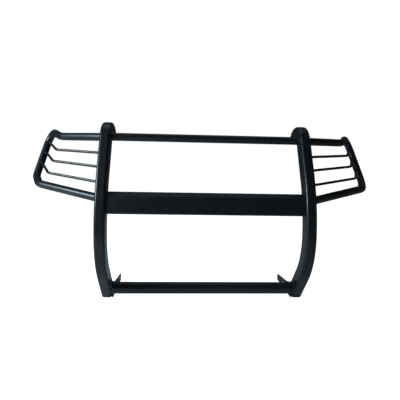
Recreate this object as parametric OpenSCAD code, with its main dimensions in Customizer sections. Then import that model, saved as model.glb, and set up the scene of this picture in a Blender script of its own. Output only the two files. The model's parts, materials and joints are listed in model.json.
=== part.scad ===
// Front grille guard for a pickup: two bowed uprights whose tops hook back over a cross tube,
// a pressed centre bar, a heavier bottom tube, a tubular wing at each side that wraps round the
// lamp with three thin rods in it, and a slotted mounting plate inside each foot.
// Frame: X across (left is -X, seen from the front), +Y to the rear, +Z up. The origin is on the
// ground under the middle of the guard. All sizes are in millimetres.

/* [Uprights] */
// Distance between the outer faces of the two uprights
frame_w = 1004; // [900:10:1100]
// Width of an upright
upright_w = 50; // [44:1:56]
// Depth of an upright, from its front face to its back plate
upright_d = 66; // [60:1:70]
// Rounding of an upright's front edges
upright_r = 12; // [8:1:15]
// Sheet thickness of an upright
upright_t = 3; // [2:0.5:4]
// Angle from the vertical at which the foot slopes forward
foot_lean = 39; // [36:1:42]
// Length of the straight foot
foot_run = 155; // [140:1:170]
// Mid-depth radius of the 45 degree bend above the foot
knee_r = 300; // [290:5:310]
// Mid-depth radius of the slow 22 degree bow behind the centre bar
bow_r = 675; // [665:5:685]
// Length of the straight stretch beside the grille
chest_run = 187; // [182:1:192]
// Mid-depth radius of the hook at the top
hook_r = 80; // [76:1:84]
// Angle that the hook turns through
hook_angle = 118; // [112:1:122]

/* [Cross members] */
// Depth of the top cross tube's middle, behind the datum near the uprights' foremost face
top_tube_y = 205; // [200:1:210]
// Depth of the bottom cross tube's middle
bottom_tube_y = 165; // [160:1:170]
// Diameter of the top cross tube
top_tube_d = 38; // [34:1:42]
// Height of the top cross tube
top_tube_z = 787; // [780:1:795]
// Diameter of the bottom cross tube
bottom_tube_d = 57; // [50:0.5:60]
// Height of the bottom cross tube
bottom_tube_z = 52; // [48:1:60]
// Wall of both cross tubes
cross_wall = 2.5; // [2:0.5:4]
// Width of the centre bar's front face
bar_face = 70; // [60:1:80]
// Width of the centre bar's sloping top lip
bar_lip = 34; // [24:1:40]
// Width of the centre bar's bottom flange
bar_flange = 26; // [16:1:32]
// Sheet thickness of the centre bar
bar_t = 3; // [2:0.5:4]
// Rearward lean of the centre bar's face
bar_lean = 17; // [12:1:20]
// Depth of the centre bar's lower front fold
bar_y = 30; // [22:1:36]
// Height of the lower edge of the centre bar's face
bar_z = 446; // [430:1:460]

/* [Wings] */
// Diameter of a wing's outer tube
wing_d = 38; // [34:1:42]
// Wall of a wing's outer tube
wing_wall = 2; // [1.5:0.5:3]
// Diameter of a wing's three rods
rod_d = 12.7; // [11:0.1:14]

/* [Mounting] */
// Thickness of a mounting plate
plate_t = 6; // [5:0.5:8]
// Width of a slot, an easy fit for a 12 mm bolt
slot_w = 13; // [11:1:15]
// Length of a slot from end to end
slot_l = 38; // [30:1:42]
// Distance between the two slots
slot_pitch = 90; // [80:1:100]
// Height of the slots
slot_z = 18; // [17:1:19]
// Depth of the middle between the two slots
slots_y = 290; // [285:1:295]

/* [Hidden] */

$fn = 64;

black_steel = "#1c2024";
black_plastic = "#0d0e0f";

// Depth of the datum, ahead of the origin, from which the depths here are counted; the uprights'
// foremost face is 3 mm ahead of it
front_y = -263.47;
// Angles of the two bends between foot and chest, and the short straight between them
knee_angle = 45;
calf_run = 10;
bow_angle = 22;
// Outer and inner faces of the right upright
outer_x = frame_w / 2;
inner_x = outer_x - upright_w;
// Middle of the foot's open end, behind the datum and above the ground
foot_y = 194;
foot_z = upright_d / 2 * sin(foot_lean);
// Rearward lean of the straight stretch beside the grille
chest_lean = knee_angle + bow_angle - foot_lean;
// The upright's line from its foot to the tip of its hook: [length] is a straight run,
// [radius, angle] a bend towards the rear
upright_path = [
    [foot_run], [knee_r, knee_angle], [calf_run], [bow_r, bow_angle], [chest_run], [hook_r, hook_angle]
];
// A point at mid-depth in the straight stretch, from which depths at other heights are worked out
chest_y = 178;
chest_z = 750;

// Where the wing's outer tube leaves the middle of the upright, and the way it heads off
wing_start = [472, 188, 785];
wing_heading = 31;
// Its route from there, out, round the lamp and back to the upright lower down: [length] is a
// straight run, [radius, angle, roll] a bend after the tube is rolled about its own line
wing_path = [
    [269], [110, 32, 15], [118], [48, 123, -129], [178], [48, 54, -4], [108], [90, 37, 64], [380]
];
// How many steps of that route come before its outer leg
leg_step = 4;
// Height at which each rod leaves the upright, from the upper one to the lower
rod_z = [710, 646, 579];
// How far ahead of the upright's mid-depth each rod starts, inside the upright
rod_ahead = 12;
// Rearward swing and climb of each rod's first run
rod_swings = [24, 24, 23];
rod_climbs = [2, 4, 6];
// Each rod's route from the upright to the outer leg
rod_paths = [
    [[264], [45, 41, 10], [267]],
    [[274], [45, 41, 7], [259]],
    [[286], [45, 42, 5], [253]]
];
// A bend's section is this much slimmer than a straight's, and laps into it by this length
bend_ease = 0.3;
bend_lap = 0.5;
// Full size is the rule outside a bend
$ease = 0;

// Reach of the tools that cut a tube off flush
cut = 600;
// How far a bore runs past the end that it opens
past = 1;

// ---- Routes ----

// Mid-depth of the upright's straight stretch at a height
function chest_mid_y(z) = chest_y + (z - chest_z) * tan(chest_lean);
function without_first(list) = [for (i = [1:1:len(list) - 1]) list[i]];
function first_of(list, n) = [for (i = [0:1:n - 1]) list[i]];

// The angle that a bend of a given radius laps into a straight
function lap_angle(radius) = bend_lap / radius * 180 / PI;

// Sweeps a section, drawn across X and rearward along Y, up a path. The section is $ease slimmer
// than its full size
module sweep(path) {
    step = path[0];
    if (len(step) == 1) {
        linear_extrude(step[0])
        let($ease = 0)
            children();
    } else {
        lap = lap_angle(step[0]);
        rotate(len(step) == 3 ? step[2] : 0)
        translate([0, step[0], 0])
        rotate([90, 0, -90])
        rotate(-lap)
        rotate_extrude(angle = step[1] + 2 * lap)
        translate([step[0], 0])
        rotate(90)
        let($ease = bend_ease)
            children();
    }
    if (len(path) > 1)
        after(step)
        sweep(without_first(path))
            children();
}

// A round bar of diameter d along a path
module bent_bar(path, d) {
    sweep(path)
        circle(d = d - $ease);
}

// Moves its children from the start of a path's step to its end
module after(step) {
    if (len(step) == 1) {
        translate([0, 0, step[0]])
            children();
    } else {
        rotate(len(step) == 3 ? step[2] : 0)
        translate([0, step[0], 0])
        rotate([-step[1], 0, 0])
        translate([0, -step[0], 0])
            children();
    }
}

// Moves its children to the end of a whole path
module at_end(path) {
    after(path[0])
        if (len(path) > 1) {
            at_end(without_first(path))
                children();
        } else {
            children();
        }
}

// ---- Placing ----

// Puts its children, drawn behind the datum, where the guard stands
module placed() {
    translate([0, front_y, 0])
        children();
}

// Draws its children, made for the right side, on the side that is asked for: 1 right, -1 left
module on_side(side) {
    if (side > 0)
        placed() children();
    else
        mirror([1, 0, 0]) placed() children();
}

// Puts its children at the start of the right upright's line, heading up it
module at_foot() {
    translate([(outer_x + inner_x) / 2, foot_y, foot_z])
    rotate([foot_lean, 0, 0])
        children();
}

// The half space on the inner side of a plane across X
module inboard_of(x) {
    translate([x - 2 * cut, -cut, -cut])
        cube([2 * cut, 4 * cut, 4 * cut]);
}

// ---- Uprights ----

// The solid outline of an upright's channel, its front corners rounded
module channel_outline(full_w, full_d, full_r) {
    w = full_w - $ease;
    d = full_d - $ease;
    r = full_r - $ease / 2;
    translate([-w / 2, r - d / 2])
        square([w, d - r]);
    translate([r - w / 2, -d / 2])
        square([w - 2 * r, r]);
    for (x = [r - w / 2, w / 2 - r])
        translate([x, r - d / 2])
            circle(r = r);
}

// The strip that closes the channel between its two sides
module back_plate_section() {
    translate([upright_t + $ease / 2 - upright_w / 2, upright_d / 2 - upright_t + $ease / 2])
        square([upright_w - 2 * upright_t - $ease, upright_t - $ease]);
}

// What an end plate covers inside the channel, less clearance all round
module inner_section(clearance) {
    inset = upright_t + clearance;
    channel_outline(upright_w - 2 * inset, upright_d - 2 * inset, upright_r - inset);
}

// A pressed channel, open to the rear
module upright(side) {
    color(black_steel)
    on_side(side)
    at_foot()
    difference() {
        sweep(upright_path)
            channel_outline(upright_w, upright_d, upright_r);
        sweep(upright_path)
        translate([0, upright_t])
            channel_outline(upright_w - 2 * upright_t, upright_d, upright_r - upright_t);
    }
}

module upright_back_plate(side) {
    color(black_steel)
    on_side(side)
    at_foot()
    sweep(upright_path)
        back_plate_section();
}

// Flat plate welded inside the hook's open end
module hook_end_plate(side) {
    color(black_steel)
    on_side(side)
    at_foot()
    at_end(upright_path)
    translate([0, 0, -upright_t])
    linear_extrude(upright_t)
        inner_section(0);
}

// Pressed-in plastic plug: a lid inside the foot's open end and a shorter hollow skirt above it
module foot_plug(side) {
    lid_t = 4;
    skirt_h = 18;
    skirt_t = 2;
    color(black_plastic)
    on_side(side)
    at_foot() {
        linear_extrude(lid_t)
            inner_section(0);
        translate([0, 0, lid_t])
        linear_extrude(skirt_h)
        difference() {
            inner_section(0.5);
            inner_section(0.5 + skirt_t);
        }
    }
}

// ---- Cross members ----

// A tube across the guard between two faces at x = -half and half
module cross_tube(half, d, y, z) {
    color(black_steel)
    placed()
    translate([-half, y, z])
    rotate([0, 90, 0])
    difference() {
        cylinder(d = d, h = 2 * half);
        translate([0, 0, -past])
            cylinder(d = d - 2 * cross_wall, h = 2 * half + 2 * past);
    }
}

module top_cross_tube() {
    cross_tube(inner_x, top_tube_d, top_tube_y, top_tube_z);
}

module bottom_cross_tube() {
    cross_tube(inner_x, bottom_tube_d, bottom_tube_y, bottom_tube_z);
}

// Sheet bent along a path, as a section: the runs and bends of sweep, in the plane
module bent_strip(path, t) {
    step = path[0];
    if (len(step) == 1) {
        translate([-t / 2, 0])
            square([t, step[0]]);
        if (len(path) > 1)
            translate([0, step[0]])
            bent_strip(without_first(path), t);
    } else {
        // a bend to the right, towards +X
        r = step[0];
        a = step[1];
        lap = lap_angle(r);
        translate([r, 0])
        difference() {
            circle(r = r + (t - bend_ease) / 2);
            circle(r = r - (t - bend_ease) / 2);
            rotate(lap)
            translate([-3 * r, -4 * r])
                square([6 * r, 4 * r]);
            rotate(-a - lap)
            translate([-3 * r, 0])
                square([6 * r, 4 * r]);
        }
        translate([r * (1 - cos(a)), r * sin(a)])
        rotate(-a)
        bent_strip(without_first(path), t);
    }
}

// Pressed bar: bottom flange folded back, upright face, top lip sloping back
module centre_bar() {
    fold_r = 6;
    flange_fold = 90 + bar_lean;
    lip_fold = 48;
    color(black_steel)
    placed()
    translate([-inner_x, bar_y, bar_z])
    rotate([90, 0, 90])
    linear_extrude(2 * inner_x)
    translate([bar_flange, 0])
    rotate(90)
    bent_strip([[bar_flange], [fold_r, flange_fold], [bar_face], [fold_r, lip_fold], [bar_lip]], bar_t);
}

// ---- Wings ----

// Puts its children at the start of the right wing's tube, heading along it
module at_wing() {
    translate(wing_start)
    rotate([0, 90, wing_heading])
        children();
}

// Outer tube of a wing, cut off flush with the upright's outer face
module wing_tube(side) {
    color(black_steel)
    on_side(side)
    difference() {
        at_wing()
        difference() {
            bent_bar(wing_path, wing_d);
            bent_bar(wing_path, wing_d - 2 * wing_wall);
        }
        inboard_of(outer_x);
    }
}

// One thin rod of a wing, from the upright to the outer leg of the wing's tube
module wing_rod(side, i) {
    rod_start = [wing_start[0], chest_mid_y(rod_z[i]) - rod_ahead, rod_z[i]];
    color(black_steel)
    on_side(side)
    difference() {
        translate(rod_start)
        rotate([0, 90 - rod_climbs[i], rod_swings[i]])
            bent_bar(rod_paths[i], rod_d);
        inboard_of(outer_x);
        at_wing()
        at_end(first_of(wing_path, leg_step))
            cylinder(d = wing_d, h = wing_path[leg_step][0]);
    }
}

// ---- Mounting plates ----

// A slot along Y, centred on the origin of the plate's own plane
module slot() {
    straight = slot_l - slot_w;
    translate([-straight / 2, -slot_w / 2])
        square([straight, slot_w]);
    for (y = [-straight / 2, straight / 2])
        translate([y, 0])
            circle(d = slot_w);
}

// Plate on the inner face of an upright's foot, notched round the bottom cross tube, that
// reaches back to the chassis. Its upper edge is straight from tip to waist and scooped above
module mount_plate(side) {
    nose = [112, 98];
    crown = [150, 112];
    waist = [300, 48];
    toe_y = 172;
    rear_y = 435;
    corner = 8;
    tip_z = 32;
    scoop_r = 420;
    scoop_middle = [350, 465];
    notch_gap = 0.5;
    color(black_steel)
    on_side(side)
    translate([inner_x - plate_t, 0, 0])
    rotate([90, 0, 90])
    linear_extrude(plate_t)
    difference() {
        polygon([
            [toe_y, 0], [rear_y - corner, 0], [rear_y, corner], [rear_y, tip_z], waist, crown, nose
        ]);
        translate(scoop_middle)
            circle(r = scoop_r, $fn = 128);
        translate([bottom_tube_y, bottom_tube_z])
            circle(d = bottom_tube_d + 2 * notch_gap);
        for (y = [-slot_pitch / 2, slot_pitch / 2])
            translate([slots_y + y, slot_z])
                slot();
    }
}

upright(-1);  // left_upright
upright(1);  // right_upright
upright_back_plate(-1);  // left_upright_back_plate
upright_back_plate(1);  // right_upright_back_plate
hook_end_plate(-1);  // left_hook_end_plate
hook_end_plate(1);  // right_hook_end_plate
foot_plug(-1);  // left_foot_plug
foot_plug(1);  // right_foot_plug
top_cross_tube();
centre_bar();
bottom_cross_tube();
wing_tube(-1);  // left_wing_tube
wing_tube(1);  // right_wing_tube
wing_rod(-1, 0);  // left_wing_upper_rod
wing_rod(1, 0);  // right_wing_upper_rod
wing_rod(-1, 1);  // left_wing_middle_rod
wing_rod(1, 1);  // right_wing_middle_rod
wing_rod(-1, 2);  // left_wing_lower_rod
wing_rod(1, 2);  // right_wing_lower_rod
mount_plate(-1);  // left_mount_plate
mount_plate(1);  // right_mount_plate
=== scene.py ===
"""Studio picture of a front grille guard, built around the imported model.

The guard's own pieces keep their shapes and get a powder-coat or a moulded-plastic finish. Weld
beads are added round the ends of the cross tubes, the wing tubes and the rods. Lengths are in
metres, in the model's own frame: X across, +Y to the rear, +Z up.
"""

import json
import math

import bmesh
import bpy
from mathutils import Matrix, Vector, noise


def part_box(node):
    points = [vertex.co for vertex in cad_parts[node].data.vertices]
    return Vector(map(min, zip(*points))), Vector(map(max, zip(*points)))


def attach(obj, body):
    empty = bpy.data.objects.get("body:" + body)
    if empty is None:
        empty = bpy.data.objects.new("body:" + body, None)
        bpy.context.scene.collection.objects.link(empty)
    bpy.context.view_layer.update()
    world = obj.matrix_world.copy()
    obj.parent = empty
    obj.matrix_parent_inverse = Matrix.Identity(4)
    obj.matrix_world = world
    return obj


MM = 0.001

# Radius of the weld beads on each kind of member
CROSS_TUBE_BEAD = 3.2 * MM
WING_TUBE_BEAD = 3.0 * MM
ROD_BEAD = 1.8 * MM

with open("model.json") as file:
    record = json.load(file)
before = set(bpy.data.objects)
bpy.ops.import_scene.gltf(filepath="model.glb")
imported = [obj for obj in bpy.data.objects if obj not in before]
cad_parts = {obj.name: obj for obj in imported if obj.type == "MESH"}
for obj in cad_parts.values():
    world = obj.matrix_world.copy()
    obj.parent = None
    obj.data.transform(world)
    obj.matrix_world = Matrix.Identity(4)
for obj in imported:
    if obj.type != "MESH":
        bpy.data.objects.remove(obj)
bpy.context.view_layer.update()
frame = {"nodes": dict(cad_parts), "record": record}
nodes = frame["nodes"]


# ---- Camera, light and floor ----

def make_camera():
    """A little left of the middle and just below the top, looking slightly down and to the right."""
    eye = Vector((-0.1285, -1.9134, 0.7495))
    turn = math.radians(3.25)
    down = math.radians(7.99)
    roll = math.radians(1.27)
    data = bpy.data.cameras.new("camera")
    data.sensor_width = 36
    data.lens = 34.2
    camera = bpy.data.objects.new("camera", data)
    bpy.context.collection.objects.link(camera)
    heading = Matrix.Rotation(-turn, 4, "Z")
    tilt = Matrix.Rotation(math.pi / 2 - down, 4, "X")
    camera.matrix_world = Matrix.Translation(eye) @ heading @ tilt @ Matrix.Rotation(roll, 4, "Z")
    bpy.context.scene.camera = camera


def area_light(name, place, aim, size, power, colour=(1, 1, 1)):
    data = bpy.data.lights.new(name, "AREA")
    data.shape = "RECTANGLE"
    data.size = size[0]
    data.size_y = size[1]
    data.energy = power
    data.color = colour
    light = bpy.data.objects.new(name, data)
    bpy.context.collection.objects.link(light)
    light.location = place
    light.rotation_euler = (Vector(aim) - Vector(place)).to_track_quat("-Z", "Y").to_euler()


def make_lights():
    """A soft key from the upper left, a weak fill from the right and a wash from above."""
    aim = (0, 0, 0.45)
    cool = (0.72, 0.88, 1)
    area_light("key", (-3.0, -1.3, 1.9), aim, (1.3, 1.3), 115, cool)
    area_light("fill", (2.6, -2.2, 1.0), aim, (0.8, 1.4), 3, cool)
    area_light("top", (0, 0.8, 3.4), aim, (2.4, 1.6), 9, cool)


def make_world():
    """White where the camera sees it, and dim where the black metal mirrors it."""
    world = bpy.data.worlds.new("studio")
    bpy.context.scene.world = world
    world.use_nodes = True
    tree = world.node_tree
    tree.nodes.clear()
    out = tree.nodes.new("ShaderNodeOutputWorld")
    mix = tree.nodes.new("ShaderNodeMixShader")
    ray = tree.nodes.new("ShaderNodeLightPath")
    seen = tree.nodes.new("ShaderNodeBackground")
    lit = tree.nodes.new("ShaderNodeBackground")
    seen.inputs["Color"].default_value = (1, 1, 1, 1)
    seen.inputs["Strength"].default_value = 1.0
    lit.inputs["Color"].default_value = (0.8, 0.9, 1, 1)
    lit.inputs["Strength"].default_value = 0.045
    tree.links.new(ray.outputs["Is Camera Ray"], mix.inputs[0])
    tree.links.new(lit.outputs[0], mix.inputs[1])
    tree.links.new(seen.outputs[0], mix.inputs[2])
    tree.links.new(mix.outputs[0], out.inputs["Surface"])


def make_floor():
    """A pale floor that the camera sees as white, right up to the horizon."""
    half = 30
    gap_below_guard = 1 * MM
    white = 1.0
    mesh = bpy.data.meshes.new("floor")
    corners = [(-half, -half, 0), (half, -half, 0), (half, half, 0), (-half, half, 0)]
    mesh.from_pydata(corners, [], [(0, 1, 2, 3)])
    floor = bpy.data.objects.new("floor", mesh)
    floor.location.z = -gap_below_guard
    bpy.context.collection.objects.link(floor)
    paint = bpy.data.materials.new("floor_paint")
    paint.use_nodes = True
    tree = paint.node_tree
    shader = tree.nodes["Principled BSDF"]
    shader.inputs["Base Color"].default_value = (0.8, 0.8, 0.8, 1)
    shader.inputs["Roughness"].default_value = 0.9
    shader.inputs["Emission Color"].default_value = (1, 1, 1, 1)
    glow = tree.nodes.new("ShaderNodeMath")
    glow.operation = "MULTIPLY"
    glow.inputs[1].default_value = white
    tree.links.new(tree.nodes.new("ShaderNodeLightPath").outputs["Is Camera Ray"], glow.inputs[0])
    tree.links.new(glow.outputs[0], shader.inputs["Emission Strength"])
    mesh.materials.append(paint)


# ---- Materials ----

class Shader:
    """A material's node tree, with short calls for the nodes that the finishes share."""

    def __init__(self, name):
        self.material = bpy.data.materials.new(name)
        self.material.use_nodes = True
        self.tree = self.material.node_tree
        self.surface = self.tree.nodes["Principled BSDF"]
        self.place = self.tree.nodes.new("ShaderNodeTexCoord").outputs["Object"]

    def link(self, start, end):
        self.tree.links.new(start, end)

    def noise(self, size, detail, roughness=0.5):
        """Noise whose patches are about size metres across, from 0 to 1."""
        node = self.tree.nodes.new("ShaderNodeTexNoise")
        node.inputs["Scale"].default_value = 1 / size
        node.inputs["Detail"].default_value = detail
        node.inputs["Roughness"].default_value = roughness
        self.link(self.place, node.inputs["Vector"])
        return node.outputs["Fac"]

    def ramp(self, value, low, high, bottom, top):
        """Maps value from low..high to bottom..top, and holds it there outside."""
        node = self.tree.nodes.new("ShaderNodeMapRange")
        node.inputs["From Min"].default_value = low
        node.inputs["From Max"].default_value = high
        node.inputs["To Min"].default_value = bottom
        node.inputs["To Max"].default_value = top
        self.link(value, node.inputs["Value"])
        return node.outputs["Result"]

    def blend(self, share, first, second):
        """A colour between two others; each is a colour or another node's output."""
        node = self.tree.nodes.new("ShaderNodeMix")
        node.data_type = "RGBA"
        self.link(share, node.inputs["Factor"])
        for socket, colour in ((node.inputs["A"], first), (node.inputs["B"], second)):
            if isinstance(colour, tuple):
                socket.default_value = (*colour, 1)
            else:
                self.link(colour, socket)
        return node.outputs["Result"]

    def round_edge(self, radius):
        """The normal that edges rounded to radius would have."""
        node = self.tree.nodes.new("ShaderNodeBevel")
        node.samples = 6
        node.inputs["Radius"].default_value = radius
        return node.outputs["Normal"]

    def edge_mask(self, normal):
        """1 on an edge and 0 on a flat face: how far the rounded normal leans from the true one."""
        flat = 0.98
        edge = 0.80
        geometry = self.tree.nodes.new("ShaderNodeNewGeometry")
        dot = self.tree.nodes.new("ShaderNodeVectorMath")
        dot.operation = "DOT_PRODUCT"
        self.link(normal, dot.inputs[0])
        self.link(geometry.outputs["Normal"], dot.inputs[1])
        return self.ramp(dot.outputs["Value"], flat, edge, 0, 1)

    def bump(self, height, depth, normal=None):
        """Relief of a height from 0 to 1 times depth metres, on top of a normal."""
        node = self.tree.nodes.new("ShaderNodeBump")
        node.inputs["Distance"].default_value = depth
        self.link(height, node.inputs["Height"])
        if normal is not None:
            self.link(normal, node.inputs["Normal"])
        return node.outputs["Normal"]


def powder_coat():
    """Satin black powder coat: orange peel, fine grain, faint clouding, flecks, and edges lightened
    partly as coat worn thin and partly as a painted highlight.
    """
    deep = (0.0040, 0.0048, 0.0062)
    pale = (0.0065, 0.0078, 0.0098)
    fleck = (0.012, 0.014, 0.017)
    # Paler edge colour: partly coat worn thin, partly a painted highlight along the rounded edges.
    edge_wear_and_highlight_colour = (0.022, 0.026, 0.031)
    s = Shader("powder_coat")
    edge = s.round_edge(1.2 * MM)
    # Edge mask for the lighter edges: partly wear, partly a painted highlight standing in for the
    # sheen on rounded edges.
    edge_wear_and_highlight = s.edge_mask(edge)
    clouds = s.ramp(s.noise(0.22, 3), 0.35, 0.65, 0, 1)
    flecks = s.ramp(s.noise(1.1 * MM, 2), 0.60, 0.72, 0, 1)
    base = s.blend(clouds, deep, pale)
    base = s.blend(flecks, base, fleck)
    base = s.blend(edge_wear_and_highlight, base, edge_wear_and_highlight_colour)
    s.link(base, s.surface.inputs["Base Color"])
    smudges = s.ramp(s.noise(0.06, 4, 0.6), 0.3, 0.7, 0.36, 0.48)
    s.link(smudges, s.surface.inputs["Roughness"])
    s.surface.inputs["Specular IOR Level"].default_value = 0.40
    s.surface.inputs["Coat Weight"].default_value = 0.30
    s.surface.inputs["Coat Roughness"].default_value = 0.16
    peel = s.bump(s.noise(3.2 * MM, 1), 0.10 * MM, edge)
    grain = s.bump(s.noise(0.7 * MM, 2), 0.02 * MM, peel)
    s.link(grain, s.surface.inputs["Normal"])
    return s.material


def moulded_plastic():
    """Matte black plastic with a fine moulded grain and slightly greyed edges."""
    deep = (0.010, 0.010, 0.011)
    pale = (0.016, 0.016, 0.017)
    grey = (0.035, 0.035, 0.036)
    s = Shader("moulded_plastic")
    edge = s.round_edge(0.8 * MM)
    greyed = s.edge_mask(edge)
    mottle = s.ramp(s.noise(8 * MM, 3), 0.3, 0.7, 0, 1)
    base = s.blend(mottle, deep, pale)
    base = s.blend(greyed, base, grey)
    s.link(base, s.surface.inputs["Base Color"])
    s.link(s.ramp(s.noise(2 * MM, 2), 0.3, 0.7, 0.55, 0.70), s.surface.inputs["Roughness"])
    s.link(s.bump(s.noise(0.5 * MM, 3), 0.05 * MM, edge), s.surface.inputs["Normal"])
    return s.material


FINISHES = {"black_powder_coat": powder_coat(), "black_plastic": moulded_plastic()}


def finish_nodes():
    """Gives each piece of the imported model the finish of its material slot."""
    for part in frame["record"]["subparts"]:
        piece = nodes[part["node"]]
        piece.data.materials.clear()
        piece.data.materials.append(FINISHES[part["material_slot"]])


# ---- Weld beads ----

def sharp_loops(node):
    """The closed lines of sharp edges on a node, each a list of points in order.

    The edges are kept in the mesh's own order, so that every run starts each line at one place.
    """
    sharp_angle = math.radians(28)
    same_point = 0.002 * MM
    fewest_points = 6
    mesh = bmesh.new()
    mesh.from_mesh(nodes[node].data)
    bmesh.ops.remove_doubles(mesh, verts=mesh.verts, dist=same_point)
    sharp = [e for e in mesh.edges if len(e.link_faces) == 2 and e.calc_face_angle() > sharp_angle]
    left = dict.fromkeys(sharp)
    loops = []
    while left:
        edge, _ = left.popitem()
        start, vert = edge.verts
        points = [start.co.copy(), vert.co.copy()]
        while vert is not start:
            following = [e for e in vert.link_edges if e in left]
            if not following:
                break
            edge = following[0]
            del left[edge]
            vert = edge.other_vert(vert)
            points.append(vert.co.copy())
        if vert is start and len(points) > fewest_points:
            loops.append(points[:-1])
    mesh.free()
    return loops


def middle(points):
    return sum(points, Vector()) / len(points)


def perimeter(points):
    return sum((b - a).length for a, b in zip(points, points[1:] + points[:1]))


def outermost(loops):
    """Of loops round one middle, such as a tube's outer and inner rims, only the longest."""
    same_place = 10 * MM
    kept = []
    for loop in sorted(loops, key=perimeter, reverse=True):
        if all((middle(loop) - middle(other)).length > same_place for other in kept):
            kept.append(loop)
    return kept


def rims_at(node, x):
    """The outer rims of a node on the plane at x."""
    near = 0.05 * MM
    return outermost([p for p in sharp_loops(node) if all(abs(v.x - x) < near for v in p)])


def farthest_rim(node, side):
    """The rim of a rod's outer end."""
    return max(sharp_loops(node), key=lambda p: side * middle(p).x)


def evenly(points, spacing):
    """Points at an even spacing along a closed line."""
    fewest = 12
    closed = points + points[:1]
    total = perimeter(points)
    count = max(fewest, round(total / spacing))
    steps = []
    walked = 0.0
    i = 0
    for k in range(count):
        target = total * k / count
        while walked + (closed[i + 1] - closed[i]).length < target:
            walked += (closed[i + 1] - closed[i]).length
            i += 1
        length = (closed[i + 1] - closed[i]).length
        steps.append(closed[i].lerp(closed[i + 1], (target - walked) / length if length else 0))
    return steps


def weld_bead(name, points, radius):
    """A closed bead round a joint, rippled like a row of overlapping drops."""
    ripple = 3.6 * MM
    rings_per_ripple = 6
    sides = 10
    valley = 0.84
    crest = 0.16
    wander_share = 0.12
    wander_length = 9 * MM
    line = evenly(points, ripple / rings_per_ripple)
    centre = middle(line)
    facing = Vector()
    for a, b in zip(line, line[1:] + line[:1]):
        facing += (a - centre).cross(b - centre)
    facing.normalize()
    mesh = bmesh.new()
    rings = []
    for i, point in enumerate(line):
        along = (line[(i + 1) % len(line)] - line[i - 1]).normalized()
        out = along.cross(facing).normalized()
        up = out.cross(along).normalized()
        drop = abs(math.sin(math.pi * (i % rings_per_ripple + 0.5) / rings_per_ripple))
        wander = noise.noise(point / wander_length)
        size = radius * (valley + crest * drop + wander_share * wander)
        ring = []
        for k in range(sides):
            angle = 2 * math.pi * k / sides
            ring.append(mesh.verts.new(point + size * (math.cos(angle) * out + math.sin(angle) * up)))
        rings.append(ring)
    for i, ring in enumerate(rings):
        following = rings[(i + 1) % len(rings)]
        for k in range(sides):
            after = (k + 1) % sides
            mesh.faces.new((ring[k], ring[after], following[after], following[k]))
    bmesh.ops.recalc_face_normals(mesh, faces=mesh.faces)
    for face in mesh.faces:
        face.smooth = True
    data = bpy.data.meshes.new(name)
    mesh.to_mesh(data)
    mesh.free()
    data.materials.append(FINISHES["black_powder_coat"])
    bead = bpy.data.objects.new(name, data)
    bpy.context.collection.objects.link(bead)
    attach(bead, "root")


def weld_cross_tubes():
    for node in ("top_cross_tube", "bottom_cross_tube"):
        low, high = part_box(node)
        for end, x in (("left", low[0]), ("right", high[0])):
            for rim in rims_at(node, x):
                weld_bead(f"weld_{node}_{end}", rim, CROSS_TUBE_BEAD)


def weld_wings():
    for side, sign in (("left", -1), ("right", 1)):
        low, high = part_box(f"{side}_upright")
        face = high[0] if sign > 0 else low[0]
        for i, rim in enumerate(rims_at(f"{side}_wing_tube", face)):
            weld_bead(f"weld_{side}_wing_tube_{i}", rim, WING_TUBE_BEAD)
        for place in ("upper", "middle", "lower"):
            rod = f"{side}_wing_{place}_rod"
            for rim in rims_at(rod, face):
                weld_bead(f"weld_{rod}_inner", rim, ROD_BEAD)
            weld_bead(f"weld_{rod}_outer", farthest_rim(rod, sign), ROD_BEAD)


bpy.context.scene.view_settings.view_transform = "Standard"
make_camera()
make_world()
make_lights()
make_floor()
finish_nodes()
weld_cross_tubes()
weld_wings()
